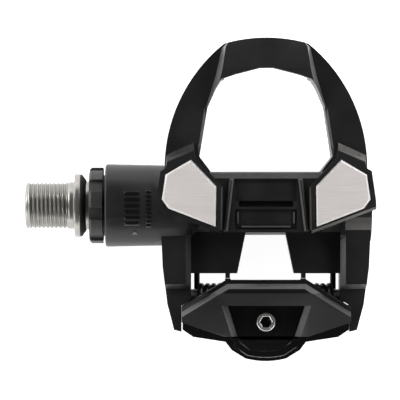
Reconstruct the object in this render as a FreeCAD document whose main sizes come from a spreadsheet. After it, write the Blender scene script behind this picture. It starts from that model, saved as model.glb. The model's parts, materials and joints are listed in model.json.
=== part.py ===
import FreeCAD, Part
import Sketcher
import os
import re
from FreeCAD import Vector

# A right-hand clipless road pedal in millimetres.
# Origin: on the spindle axis, at the spindle's shoulder that bears on the crank.
# +X points away from the crank, +Y to the front of the pedal, +Z up, to the cleat side.
# The pedal body, the clip and what is fixed to them are drawn about their own mid plane,
# and each of those bodies is then placed at centre_x.

doc = FreeCAD.newDocument("ClipPedal")

sizes = {
    # Spindle and crank thread
    "centre_x": 58.0,
    "thread_radius": 7.14,
    "thread_length": 15.0,
    "thread_chamfer": 0.9,
    "flange_radius": 9.6,
    "flange_width": 1.8,
    "neck_radius": 7.3,
    "neck_end": 13.0,
    "journal_radius": 6.0,
    "journal_end": 33.0,
    "shaft_radius": 5.2,
    "tail_radius": 4.0,
    "tail_start": 77.0,
    "stud_radius": 3.0,
    "stud_end": 86.3,
    "socket_flats": 8.0,
    "socket_depth": 10.0,
    # Seals and lockring
    "seal_width": 1.7,
    "lockring_start": 4.5,
    "lockring_radius": 11.55,
    "lockring_width": 4.2,
    "lockring_chamfer": 0.7,
    "notch_count": 8,
    "notch_width": 3.6,
    "notch_depth": 1.1,
    "notch_angle": 12.5,
    "spigot_radius": 9.25,
    "spigot_end": 15.2,
    "lockring_bore": 7.6,
    "lip_seal_radius": 8.5,
    "lip_seal_width": 3.0,
    "running_clearance": 0.04,
    "thread_clearance": 0.05,
    # Needle bearing
    "needle_start": 15.5,
    "needle_length": 16.0,
    "needle_radius": 0.97,
    "needle_count": 14,
    "sleeve_radius": 8.8,
    "sleeve_bore": 8.0,
    "cage_wall": 0.9,
    # Ball bearing and outboard end
    "bearing_width": 5.0,
    "bearing_radius": 8.0,
    "race_step": 0.7,
    "ball_radius": 1.0,
    "ball_count": 9,
    "ball_clearance": 0.03,
    "circlip_width": 1.0,
    "circlip_bite": 0.5,
    "washer_width": 0.8,
    "washer_radius": 5.2,
    "nut_flats": 9.0,
    "nut_width": 3.2,
    "cap_radius": 9.4,
    "cap_width": 1.4,
    "plug_width": 2.0,
    "o_ring_wire": 0.45,
    "o_ring_land": 0.5,
    # Housing of the pedal body
    "housing_start": 9.4,
    "housing_radius": 12.6,
    "housing_taper": 0.5,
    "housing_end": 34.0,
    "tube_radius": 9.0,
    "outboard_start": 82.0,
    "outboard_radius": 10.9,
    "outboard_end": 90.0,
    "bore_gap": 1.4,
    # Cleat pads and bridge
    "pad_top": 12.4,
    "pad_base": 4.0,
    "plate_top": 13.0,
    "plate_thickness": 1.6,
    "plate_chamfer": 0.5,
    "plate_gap": 0.12,
    "border": 1.5,
    "bridge_top": 10.4,
    "bridge_base": -7.0,
    "bridge_front": 10.2,
    "bridge_back": -8.1,
    "bridge_half": 17.0,
    "panel_half": 9.3,
    "panel_depth": 0.9,
    "slot_depth": 2.4,
    "slot_half": 8.2,
    "plaque_line": 0.5,
    "rib_width": 1.5,
    "rib_height": 0.9,
    "rib_slope": 30.0,
    "flank_slope": 33.0,
    "bridge_lip": 1.6,
    # Front arch
    "arch_reach": 50.5,
    "bar_half": 12.6,
    "arch_half": 30.6,
    "arch_round": 48.0,
    "front_round": 46.0,
    "arch_inner_reach": 41.1,
    "arm_top": 9.5,
    "arm_rise": 3.6,
    "bar_top": 19.6,
    "bar_base": 3.0,
    "lip_under": 15.6,
    "nose_depth": 4.2,
    "bar_lean": 2.4,
    "arm_chamfer": 0.9,
    # Rear arms and blocks
    "rear_half": 31.9,
    "rear_inner": 22.6,
    "rear_slot": 25.55,
    "rear_reach": 38.4,
    "rear_arm_top": 8.0,
    "rear_end_top": 4.6,
    "rear_arm_base": -7.0,
    "rear_arm_chamfer": 1.6,
    "ledge_chamfer": 0.8,
    "step_back": 23.8,
    "block_top": 4.0,
    "block_base": -3.0,
    "block_back": 20.6,
    "window_front_half": 6.0,
    "window_back_half": 8.6,
    # Clip, its pivot and springs
    "pivot_back": 27.5,
    "pivot_height": -1.5,
    "pin_radius": 2.0,
    "pin_half": 29.2,
    "clip_half": 25.4,
    "clip_lip_half": 12.1,
    "clip_lip_back": 22.2,
    "clip_top": 19.0,
    "clip_top_back": 11.4,
    "clip_back": 39.5,
    "tail_back": 47.1,
    "tail_top": 6.4,
    "lip_depth": 2.4,
    "lip_ledge": 1.2,
    "ledge_drop": 1.7,
    "shell_chamfer": 1.5,
    "clip_gap": 0.18,
    "window_chamfer": 1.7,
    "boss_top": 9.4,
    "boss_slope": 18.0,
    "hub_radius": 4.3,
    "hub_half": 12.4,
    "bay_half": 22.2,
    "bush_radius": 3.0,
    "bush_length": 7.0,
    "stop_gap": 0.12,
    "clip_window_floor": 9.2,
    "spring_wire": 0.9,
    "spring_turns": 4,
    "spring_start": 13.4,
    "front_leg": 9.0,
    "rear_leg": 8.6,
    "leg_root": 0.3,
    "leg_wire": 0.78,
    # Release tension screw
    "screw_back": 35.1,
    "screw_radius": 1.95,
    "head_radius": 2.85,
    "head_height": 2.2,
    "key_flats": 3.0,
    "screw_end": -5.0,
    "nut_plate_half": 20.4,
    "nut_plate_base": -2.9,
    "nut_plate_thickness": 2.4,
    "nut_plate_width": 5.6,
    "chamber_gap": 0.4,
    # Screws under the platform plates
    "plate_screw_x": 22.6,
    "plate_screw_y": 11.4,
    "plate_screw_radius": 1.0,
    "plate_screw_head": 1.8,
    "plate_boss": 1.65,
    "plate_boss_length": 3.0,
    "plate_screw_head_height": 1.3,
    "plate_screw_key": 0.9,
}

sheet = doc.addObject("Spreadsheet::Sheet", "Sizes")
for row, (alias, number) in enumerate(sizes.items(), start=1):
    sheet.set(f"A{row}", alias)
    sheet.set(f"B{row}", str(number))
    sheet.setAlias(f"B{row}", alias)
doc.recompute()


# A rule is written with the sheet's bare aliases, and is bound to them here.
def bound(rule):
    def name(word):
        return "Sizes." + word.group() if word.group() in sizes else word.group()
    return re.sub(r"[a-z]\w*", name, str(rule))


def number(rule):
    value = sheet.evalExpression(bound(rule))
    return float(getattr(value, "Value", value))


def bind(item, **rules):
    for field, rule in rules.items():
        item.setExpression(field.replace("__", "."), bound(rule))


def origin_plane(body, role):
    return next(f for f in body.Origin.OriginFeatures if f.Role == role)


def mirror(corners):
    return [("-(%s)" % corner[0],) + tuple(corner[1:]) for corner in reversed(corners)]


# Closed loops of corners in one sketch, each corner's two distances from the origin bound to a
# rule. A corner with a third rule starts an arc of that radius, bulging to the loop's outside.
def draw(body, name, role, loops, height=None):
    sketch = body.newObject("Sketcher::SketchObject", name)
    sketch.AttachmentSupport = (origin_plane(body, role), "")
    sketch.MapMode = "FlatFace"
    if height is not None:
        bind(sketch, AttachmentOffset__Base__z=height)
    rules = []
    for corners in loops:
        first = sketch.GeometryCount
        spots = [Vector(number(c[0]), number(c[1]), 0) for c in corners]
        for index, corner in enumerate(corners):
            start, end = spots[index], spots[(index + 1) % len(spots)]
            if len(corner) == 2:
                sketch.addGeometry(Part.LineSegment(start, end))
                continue
            chord = end - start
            radius = number(corner[2])
            outward = Vector(chord.y, -chord.x, 0).normalize()
            rise = radius - (radius ** 2 - chord.Length ** 2 / 4) ** 0.5
            sketch.addGeometry(Part.Arc(start, start + chord / 2 + outward * rise, end))
            sketch.addConstraint(Sketcher.Constraint("Radius", first + index, radius))
            rules.append((sketch.ConstraintCount - 1, corner[2]))
        for index, corner in enumerate(corners):
            after = first + (index + 1) % len(corners)
            sketch.addConstraint(Sketcher.Constraint("Coincident", first + index, 2, after, 1))
            for kind, rule in (("DistanceX", corner[0]), ("DistanceY", corner[1])):
                distance = Sketcher.Constraint(kind, -1, 1, first + index, 1, number(rule))
                sketch.addConstraint(distance)
                rules.append((sketch.ConstraintCount - 1, rule))
    for index, rule in rules:
        sketch.setExpression(f"Constraints[{index}]", bound(rule))
    sketch.Visibility = False
    return sketch


def circle(body, name, role, spot, radius, height=None):
    sketch = body.newObject("Sketcher::SketchObject", name)
    sketch.AttachmentSupport = (origin_plane(body, role), "")
    sketch.MapMode = "FlatFace"
    if height is not None:
        bind(sketch, AttachmentOffset__Base__z=height)
    middle = Vector(number(spot[0]), number(spot[1]), 0)
    sketch.addGeometry(Part.Circle(middle, Vector(0, 0, 1), number(radius)))
    sketch.addConstraint(Sketcher.Constraint("Radius", 0, number(radius)))
    sketch.addConstraint(Sketcher.Constraint("DistanceX", -1, 1, 0, 3, number(spot[0])))
    sketch.addConstraint(Sketcher.Constraint("DistanceY", -1, 1, 0, 3, number(spot[1])))
    for index, rule in enumerate((radius, spot[0], spot[1])):
        sketch.setExpression(f"Constraints[{index}]", bound(rule))
    return sketch


def new_body(label, at_centre=True):
    body = doc.addObject("PartDesign::Body", label)
    body.Label = label
    if at_centre:
        bind(body, Placement__Base__x="centre_x")
    return body


def pad(body, name, sketch, length, slope=None):
    feature = body.newObject("PartDesign::Pad", name)
    feature.Profile = sketch
    bind(feature, Length=length)
    if slope:
        bind(feature, TaperAngle=slope)
    doc.recompute()
    if "Invalid" in feature.State or feature.Shape.isNull():
        raise RuntimeError(f"{name} fails on {body.Label}")
    return feature


# A cut of a given depth from its sketch, upwards (along the sketch's normal) unless down is set,
# or both ways through everything.
def cut(body, name, sketch, length=None, down=False, slope=None):
    before = body.Shape.Volume
    feature = body.newObject("PartDesign::Pocket", name)
    feature.Profile = sketch
    if length is None:
        feature.Type = 1
        feature.Midplane = True
    else:
        bind(feature, Length=length)
        feature.Reversed = not down
    if slope:
        bind(feature, TaperAngle=slope)
    doc.recompute()
    if not body.Shape.Volume < before - 0.01:
        raise RuntimeError(f"{name} cuts nothing from {body.Label}")
    return feature


# A chamfer on every edge of the body whose two ends and middle pass the given test.
def chamfer(body, name, size, test):
    base = body.Tip
    picked = [f"Edge{i}" for i, edge in enumerate(base.Shape.Edges, start=1)
              if len(edge.Vertexes) == 2
              and all(test(spot.x, spot.y, spot.z) for spot in
                      [edge.Vertexes[0].Point, edge.Vertexes[1].Point, edge.CenterOfMass])]
    if not picked:
        raise RuntimeError(f"{name} finds no edge on {body.Label}")
    feature = body.newObject("PartDesign::Chamfer", name)
    feature.Base = (base, picked)
    bind(feature, Size=size)
    doc.recompute()
    if not feature.Shape.Volume < base.Shape.Volume - 0.01:
        raise RuntimeError(f"{name} takes nothing off {body.Label}")
    return feature


def near(value, rule):
    return abs(value - number(rule)) < 0.02


# A piece turned about the X axis from a closed profile of (distance along, radius) corners.
def turned(label, profile, at_centre=False):
    body = new_body(label, at_centre)
    sketch = draw(body, label + "_profile", "XZ_Plane", [profile])
    feature = body.newObject("PartDesign::Revolution", label + "_turned")
    feature.Profile = sketch
    feature.ReferenceAxis = (sketch, ["H_Axis"])
    feature.Angle = 360
    doc.recompute()
    return body


def ring(label, start, width, inner, outer, at_centre=False):
    end = f"{start} + {width}"
    return turned(label, [(start, inner), (end, inner), (end, outer), (start, outer)], at_centre)


# One solid fused from pieces, and a group of separate solids in one node.
def fused(label, pieces):
    item = doc.addObject("Part::MultiFuse", label)
    item.Shapes = pieces
    return item


def grouped(label, pieces):
    item = doc.addObject("Part::Compound", label)
    item.Links = pieces
    return item


def less(label, base, tool):
    item = doc.addObject("Part::Cut", label)
    item.Base = base
    item.Tool = tool
    return item


def rod(name, radius, length, spot, turn=None):
    item = doc.addObject("Part::Cylinder", name)
    bind(item, Radius=radius, Height=length)
    if turn is not None:
        item.Placement.Rotation = turn
    bind(item, Placement__Base__x=spot[0], Placement__Base__y=spot[1], Placement__Base__z=spot[2])
    return item


along_x = FreeCAD.Rotation(Vector(0, 1, 0), 90)
along_y = FreeCAD.Rotation(Vector(1, 0, 0), -90)


# ---- Spindle and its seal ----

def make_spindle():
    body = turned("spindle", [
        ("-thread_length", 0),
        ("stud_end", 0),
        ("stud_end", "stud_radius"),
        ("tail_start + bearing_width", "stud_radius"),
        ("tail_start + bearing_width", "tail_radius"),
        ("tail_start", "tail_radius"),
        ("tail_start", "shaft_radius"),
        ("journal_end", "shaft_radius"),
        ("journal_end", "journal_radius"),
        ("neck_end", "journal_radius"),
        ("neck_end", "neck_radius"),
        ("flange_width", "neck_radius"),
        ("flange_width", "flange_radius"),
        (0, "flange_radius"),
        (0, "thread_radius"),
        ("-thread_length + thread_chamfer", "thread_radius"),
        ("-thread_length", "thread_radius - thread_chamfer"),
    ])
    flats = "socket_flats"
    half_side = f"{flats} / 3.4641"
    point = f"{flats} / 1.7321"
    hexagon = [(half_side, f"{flats} / 2"), (f"-{half_side}", f"{flats} / 2"), (f"-{point}", 0),
               (f"-{half_side}", f"-{flats} / 2"), (half_side, f"-{flats} / 2"), (point, 0)]
    socket = draw(body, "hex_socket", "YZ_Plane", [hexagon], "-thread_length")
    cut(body, "hex_socket_cut", socket, "socket_depth")
    return body


def make_dust_seal():
    return turned("spindle_dust_seal", [
        ("flange_width", "neck_radius"),
        ("flange_width + seal_width", "neck_radius"),
        ("flange_width + seal_width", "neck_radius + 0.3"),
        ("flange_width + 0.3", "flange_radius - 0.1"),
        ("flange_width", "flange_radius - 0.1"),
    ])


# ---- Lockring, lip seal ----

def make_lockring():
    flange_end = "lockring_start + lockring_width"
    seal_end = "lockring_start + 0.5 + lip_seal_width"
    body = turned("bearing_lockring", [
        ("lockring_start", "lip_seal_radius"),
        (seal_end, "lip_seal_radius"),
        (seal_end, "lockring_bore"),
        ("spigot_end", "lockring_bore"),
        ("spigot_end", "spigot_radius"),
        (flange_end, "spigot_radius"),
        (flange_end, "lockring_radius"),
        ("lockring_start + lockring_chamfer", "lockring_radius"),
        ("lockring_start", "lockring_radius - lockring_chamfer"),
    ])
    body.Placement.Rotation = FreeCAD.Rotation(Vector(1, 0, 0), number("notch_angle"))
    bind(body, Placement__Rotation__Angle="notch_angle")
    root = "lockring_radius - notch_depth"
    corners = [("-notch_width / 2", root), ("notch_width / 2", root),
               ("notch_width / 2 + 0.6", "lockring_radius + 1"),
               ("-notch_width / 2 - 0.6", "lockring_radius + 1")]
    sketch = draw(body, "notch", "YZ_Plane", [corners], "lockring_start - 1")
    notch = cut(body, "notch_cut", sketch, "lockring_width + 2")
    pattern = body.newObject("PartDesign::PolarPattern", "notches")
    pattern.Originals = [notch]
    pattern.Axis = (next(f for f in body.Origin.OriginFeatures if f.Role == "X_Axis"), [""])
    pattern.Angle = 360
    bind(pattern, Occurrences="notch_count")
    body.Tip = pattern
    doc.recompute()
    return body


# ---- Needle bearing ----

def make_needle_bearing():
    pitch = "(journal_radius + sleeve_bore) / 2"
    sleeve = ring("needle_bearing_sleeve", "needle_start", "needle_length",
                  "sleeve_bore", "sleeve_radius")
    blank = ring("needle_cage_blank", "needle_start + 0.4", "needle_length - 0.8",
                 f"{pitch} - cage_wall / 2", f"{pitch} + cage_wall / 2")
    rollers = []
    pockets = []
    for index in range(int(number("needle_count"))):
        turn = f"{index} * 360 deg / needle_count"
        spot = [f"cos({turn}) * {pitch}", f"sin({turn}) * {pitch}"]
        rollers.append(rod(f"needle_{index}", "needle_radius", "needle_length - 3",
                           ["needle_start + 1.5"] + spot, along_x))
        pockets.append(rod(f"pocket_{index}", "needle_radius + 0.04", "needle_length - 2.9",
                           ["needle_start + 1.45"] + spot, along_x))
    cage = less("needle_cage", blank, fused("cage_pockets", pockets))
    return [sleeve, grouped("needle_rollers", rollers), cage]


# ---- Ball bearing ----

def make_ball_bearing():
    pitch = "(tail_radius + bearing_radius) / 2"
    middle = "tail_start + bearing_width / 2"

    def race(name):
        item = doc.addObject("Part::Torus", name)
        item.Placement.Rotation = along_x
        bind(item, Radius1=pitch, Radius2="ball_radius + ball_clearance",
             Placement__Base__x=middle)
        return item

    outer = less("ball_bearing_outer_ring",
                 ring("outer_ring_blank", "tail_start", "bearing_width",
                      f"{pitch} + race_step", "bearing_radius"), race("outer_race"))
    inner = less("ball_bearing_inner_ring",
                 ring("inner_ring_blank", "tail_start", "bearing_width",
                      "tail_radius", f"{pitch} - race_step"), race("inner_race"))
    blank = ring("ball_cage_blank", f"{middle} - 1.4", 2.8, f"{pitch} - 0.35", f"{pitch} + 0.35")
    balls = []
    pockets = []
    for index in range(int(number("ball_count"))):
        turn = f"{index} * 360 deg / ball_count"
        for name, grow, group in (("ball", "0", balls), ("ball_pocket", "0.04", pockets)):
            ball = doc.addObject("Part::Sphere", f"{name}_{index}")
            bind(ball, Radius=f"ball_radius + {grow}", Placement__Base__x=middle,
                 Placement__Base__y=f"cos({turn}) * {pitch}",
                 Placement__Base__z=f"sin({turn}) * {pitch}")
            group.append(ball)
    cage = less("ball_cage", blank, fused("ball_pockets", pockets))
    return [outer, inner, grouped("bearing_balls", balls), cage]


# ---- Outboard end ----

def make_outboard_end():
    bearing_end = "tail_start + bearing_width"
    nut_start = f"{bearing_end} + washer_width"
    circlip = ring("bearing_circlip", f"{bearing_end} + 0.05", "circlip_width",
                   "bearing_radius - 0.9", "bearing_radius + circlip_bite")
    washer = ring("spindle_end_washer", bearing_end, "washer_width",
                  "stud_radius + thread_clearance", "washer_radius")
    nut = doc.addObject("Part::Prism", "nut_blank")
    nut.Polygon = 6
    nut.Placement.Rotation = along_x
    bind(nut, Circumradius="nut_flats / 1.7321", Height="nut_width", Placement__Base__x=nut_start)
    hole = rod("nut_hole", "stud_radius + thread_clearance", "nut_width + 2",
               [f"{nut_start} - 1", "0", "0"], along_x)
    nut_node = less("spindle_end_nut", nut, hole)
    groove = "bearing_radius - thread_clearance - 2 * o_ring_wire"
    plug = "bearing_radius - thread_clearance"
    face = "outboard_end - cap_width"
    cap = turned("end_cap", [
        (f"{face} - plug_width", 0),
        ("outboard_end", 0),
        ("outboard_end", "cap_radius"),
        (face, "cap_radius"),
        (face, plug),
        (f"{face} - o_ring_land", plug),
        (f"{face} - o_ring_land", groove),
        (f"{face} - o_ring_land - 2 * o_ring_wire", groove),
        (f"{face} - o_ring_land - 2 * o_ring_wire", plug),
        (f"{face} - plug_width", plug),
    ])
    o_ring = doc.addObject("Part::Torus", "end_cap_o_ring")
    o_ring.Placement.Rotation = along_x
    bind(o_ring, Radius1="bearing_radius - thread_clearance - o_ring_wire",
         Radius2="o_ring_wire", Placement__Base__x=f"{face} - o_ring_land - o_ring_wire")
    return [circlip, washer, nut_node, cap, o_ring]


# ---- Pedal body ----

plate_corners = [("15.0", "5.8"), ("15.2", "-6.4"), ("29.4", "-0.9"), ("31.4", "1.8"),
                 ("30.3", "9.3"), ("22.6", "13.8")]
frame_corners = [("15.0 - border", "5.8 + 0.4"), ("15.2 - border", "-6.4 - 1.3 * border"),
                 ("31.4 + 1.2 * border", "-0.9 - 0.2"), ("31.4 + 1.1 * border", "1.8"),
                 ("30.3 + border", "9.3 + 0.7 * border"), ("22.6", "13.8 + 1.2 * border")]


def make_pedal_body():
    body = turned("pedal_body", [
        ("housing_start - centre_x", 0),
        ("outboard_end - centre_x", 0),
        ("outboard_end - centre_x", "outboard_radius"),
        ("outboard_start - centre_x", "outboard_radius"),
        ("outboard_start - centre_x - 1.5", "tube_radius"),
        ("housing_end - centre_x + 3", "tube_radius"),
        ("housing_end - centre_x", "housing_radius - housing_taper"),
        ("housing_start - centre_x + 0.4", "housing_radius"),
        ("housing_start - centre_x", "housing_radius - 0.4"),
    ], True)

    # Front arch: arms, then the raised bar, then its underside and the opening
    foot = ("arch_half", "6")
    crown = [("arch_half", "11.6", "arch_round"), ("bar_half + 2.3", "arch_reach - 3.7"),
             ("bar_half", "arch_reach - 1.8", "front_round"), ("-bar_half", "arch_reach - 1.8"),
             ("-bar_half - 2.3", "arch_reach - 3.7", "arch_round"), ("-arch_half", "11.6")]
    pad(body, "arch",
        draw(body, "arch_outline", "XY_Plane", [[foot] + crown + mirror([foot])], "bridge_base"),
        "arm_top - bridge_base")
    pad(body, "arch_rise", draw(body, "arch_rise_outline", "XY_Plane", [crown], "arm_top - 1"),
        "arm_rise + 1")
    low = [("11", "arm_top"), ("16", "arm_top"), ("arch_reach", "arm_top + arm_rise"),
           ("arch_reach + 2", "25"), ("11", "25")]
    cut(body, "arm_slope", draw(body, "arm_top_profile", "YZ_Plane", [low]))

    def bar(lean, name, height):
        right = [(f"18.6 - {lean}", "29.6"), (f"bar_half + 3.3 - {lean}", f"39.2 - 0.2 * ({lean})"),
                 (f"bar_half + 1.6 - {lean}", f"arch_reach - 3.2 + 0.1 * ({lean})"),
                 (f"bar_half - 0.6 * ({lean})", f"arch_reach - 1.8 + 0.05 * ({lean})",
                  "front_round")]
        left = [tuple(corner[:2]) for corner in mirror(right)]
        return draw(body, name, "XY_Plane", [right + left], height)

    loft = body.newObject("PartDesign::AdditiveLoft", "front_bar")
    loft.Profile = bar("0", "front_bar_foot", "arm_top - 1")
    loft.Sections = [bar("bar_lean", "front_bar_crest", "bar_top + 0.5")]
    doc.recompute()
    over = [("28", "arm_top + 1.5"), ("29", "arm_top + 1.7"),
            ("arch_inner_reach - 3.6", "bar_top - 0.4"), ("arch_inner_reach", "bar_top"),
            ("arch_reach + 3", "bar_top - 2.9"), ("arch_reach + 3", "bar_top + 4"),
            ("28", "bar_top + 4")]
    cut(body, "front_bar_top", draw(body, "front_bar_top_profile", "YZ_Plane", [over]))
    beneath = [("11", "-8"), ("arch_reach + 3", "-8"), ("arch_reach + 3", "bar_base + 3"),
               ("arch_inner_reach", "bar_base"), ("11", "-7")]
    cut(body, "arch_under", draw(body, "arch_under_profile", "YZ_Plane", [beneath]))
    opening = [("16.6", "bridge_front"), ("20.1", "14.8"), ("17.6", "29.8"), ("15.1", "35.3"),
               ("13.5", "arch_inner_reach - 3.3"), ("9.4", "arch_inner_reach - 1.9"),
               ("2", "arch_inner_reach")]
    cut(body, "arch_opening",
        draw(body, "arch_opening_outline", "XY_Plane", [opening + mirror(opening)]))
    nose = [("bar_half", "30"), ("bar_half", "arch_inner_reach + nose_depth - 2"),
            ("bar_half - 3", "arch_inner_reach + nose_depth"),
            ("3 - bar_half", "arch_inner_reach + nose_depth"),
            ("-bar_half", "arch_inner_reach + nose_depth - 2"), ("-bar_half", "30")]
    cut(body, "nose_pocket",
        draw(body, "nose_outline", "XY_Plane", [nose], "lip_under"), "lip_under + 10", True)
    climb = "arm_rise * (29.5 - 16) / (arch_reach - 16)"
    edge = [(f"20.1 + arm_chamfer + {climb}", "14.8"), ("17.6 + arm_chamfer", "29.5"),
            ("14", "29.5"), ("14", "13.4"), (f"20.1 + arm_chamfer + {climb}", "13.4")]
    cut(body, "arm_inner_slopes",
        draw(body, "arm_inner_outline", "XY_Plane", [edge, mirror(edge)], f"arm_top + {climb}"),
        f"arm_chamfer + {climb}", True, "-45")

    # Bridge, with its sloping front lip, and the cleat pads
    bridge = [("bridge_half", "bridge_front"), ("-bridge_half", "bridge_front"),
              ("-bridge_half", "bridge_back"), ("bridge_half", "bridge_back")]
    pad(body, "bridge", draw(body, "bridge_outline", "XY_Plane", [bridge], "bridge_base"),
        "bridge_top - bridge_base")
    lip = [("bridge_front - bridge_lip - 0.4", "bridge_top"),
           ("bridge_front - 0.4", "bridge_top - 0.7 * bridge_lip"),
           ("bridge_front + 0.6", "bridge_top - 2 * bridge_lip"),
           ("bridge_front + 0.6", "bridge_top + 1"),
           ("bridge_front - bridge_lip - 0.4", "bridge_top + 1")]
    cut(body, "bridge_lip_slope",
        draw(body, "bridge_lip_profile", "YZ_Plane", [lip], "-bridge_half"), "2 * bridge_half")
    pads = [frame_corners, mirror(frame_corners)]
    pad(body, "cleat_pads", draw(body, "cleat_pad_outline", "XY_Plane", pads, "pad_base"),
        "pad_top - pad_base")
    chamfer(body, "pad_ledge", "ledge_chamfer",
            lambda x, y, z: x > 13 and y < -0.5 and near(z, "pad_top"))
    flank = [("15.0 - border - 0.6", "6.0"), ("15.0 - border - 0.6", "bridge_back + 0.2"),
             ("15.0 + border", "bridge_back + 0.2"), ("15.0 + border", "6.0")]
    pad(body, "frame_flanks",
        draw(body, "frame_flank_outline", "XY_Plane", [flank, mirror(flank)],
             "bridge_top - 0.3"), "pad_top - bridge_top + 0.1", "-flank_slope")

    # Rear blocks and arms
    block = [("window_front_half", "bridge_back + 1"), ("window_front_half", "bridge_back"),
             ("window_back_half", "-block_back"), ("rear_inner + 1", "-block_back"),
             ("rear_inner + 1", "bridge_back + 1")]
    pad(body, "rear_blocks",
        draw(body, "rear_block_outline", "XY_Plane", [block, mirror(block)], "block_base"),
        "block_top - block_base")
    slant = "8.3 / (clip_half - clip_lip_half)"
    beside = f"-clip_lip_back + 1.2 * clip_gap - {slant}"
    arm = [("rear_inner", "0"), ("rear_inner", f"{beside} * (rear_inner - clip_lip_half)"),
           ("rear_slot", f"{beside} * (rear_slot - clip_lip_half)"),
           ("rear_slot", "-rear_reach"), ("rear_half - 4.1", "0.6 - rear_reach"),
           ("rear_half - 2.1", "-30"), ("rear_half - 0.7", "-18.6"), ("rear_half", "-3"),
           ("rear_half", "0")]
    pad(body, "rear_arms",
        draw(body, "rear_arm_outline", "XY_Plane", [arm, mirror(arm)], "rear_arm_base"),
        "rear_arm_top - rear_arm_base")
    step = [("-step_back", "rear_arm_top"), ("-step_back - 1.5", "rear_end_top"),
            ("-rear_reach", "rear_end_top - 1.4"), ("-rear_reach - 2", "rear_arm_top + 1"),
            ("-step_back", "rear_arm_top + 1")]
    cut(body, "rear_step", draw(body, "rear_step_profile", "YZ_Plane", [step]))
    under = [("-15", "rear_arm_base - 1"), ("-rear_reach - 2", "rear_arm_base - 1"),
             ("-rear_reach - 2", "rear_arm_base + 3"), ("-31.5", "rear_arm_base")]
    cut(body, "rear_under", draw(body, "rear_under_profile", "YZ_Plane", [under]))
    relief = [("rear_inner - 0.6", "-26.2"), ("rear_slot", "-26.2"), ("rear_slot", "-32"),
              ("rear_inner - 0.6", "-32")]
    cut(body, "arm_relief",
        draw(body, "arm_relief_outline", "XY_Plane", [relief, mirror(relief)],
             "rear_arm_base - 1"), "pivot_height + 0.6 - rear_arm_base + 1")
    inner = "rear_inner + rear_arm_chamfer"
    shoulder = [(inner, "-9"), (f"-({inner})", "-9"), (f"-({inner})", "-28"), (inner, "-28")]
    cut(body, "rear_arm_inner_slopes",
        draw(body, "rear_arm_slope_outline", "XY_Plane", [shoulder], "rear_arm_top"),
        "rear_arm_chamfer", True, "-45")
    nub = [("10.8", "-block_back + 1"), ("10.8", "-clip_lip_back + stop_gap"),
           ("12.2", "-clip_lip_back + stop_gap"), ("12.2", "-block_back + 1")]
    pad(body, "stop_nubs",
        draw(body, "stop_nub_outline", "XY_Plane", [nub, mirror(nub)], "block_top - 2.6"), "2.6")

    # Ramps from the arms up to the cleat pads
    ramp_low = [("21.2", "13"), ("30.4", "10.5"), ("30.2", "15.6"), ("21.8", "19.9")]
    ramp_high = [("21.2", "13"), ("30.4", "10.5"), ("29.8", "13.2"), ("21.7", "16.6")]
    loft = body.newObject("PartDesign::AdditiveLoft", "foot_ramp")
    loft.Profile = draw(body, "ramp_low", "XY_Plane", [ramp_low], "arm_top - 0.6")
    loft.Sections = [draw(body, "ramp_high", "XY_Plane", [ramp_high], "pad_top - 0.2")]
    doc.recompute()
    twin = body.newObject("PartDesign::Mirrored", "foot_ramps")
    twin.Originals = [loft]
    twin.MirrorPlane = (origin_plane(body, "YZ_Plane"), [""])
    body.Tip = twin
    doc.recompute()

    # Bridge panels and ribs
    slanted = [("9.6", "8.2"), ("11.5", "bridge_back + 0.2"),
               ("11.5 + rib_width", "bridge_back + 0.2"), ("9.6 + rib_width", "8.2")]
    pad(body, "slanted_ribs",
        draw(body, "slanted_rib_outline", "XY_Plane", [slanted, mirror(slanted)],
             "bridge_top - 0.1"), "rib_height + 0.1", "-rib_slope")
    panel = [("panel_half", "7.9"), ("-panel_half", "7.9"), ("-panel_half", "1.4"),
             ("panel_half", "1.4")]
    plaque = [("panel_half", "-1.1"), ("-panel_half", "-1.1"), ("-panel_half", "-7.2"),
              ("panel_half", "-7.2")]
    cut(body, "bridge_panels",
        draw(body, "bridge_panel_outline", "XY_Plane", [panel, plaque], "bridge_top + 1"),
        "panel_depth + 1", True)
    post = [("8.2", "-1.9"), ("8.2", "-5.4"), ("8.2 + plaque_line", "-5.4"),
            ("8.2 + plaque_line", "-1.9")]
    rail = [("7.4", "-6.1"), ("-7.4", "-6.1"), ("-7.4", "-6.1 - plaque_line"),
            ("7.4", "-6.1 - plaque_line")]
    pad(body, "plaque_lines",
        draw(body, "plaque_line_outline", "XY_Plane", [post, mirror(post), rail],
             "bridge_top - panel_depth - 0.2"), "plaque_line + 0.2")
    slot = [("slot_half", "1.4"), ("-slot_half", "1.4"), ("-slot_half", "-0.4"),
            ("slot_half", "-0.4")]
    cut(body, "bridge_slot",
        draw(body, "bridge_slot_outline", "XY_Plane", [slot], "bridge_top + 1"),
        "slot_depth + 1", True)

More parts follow.
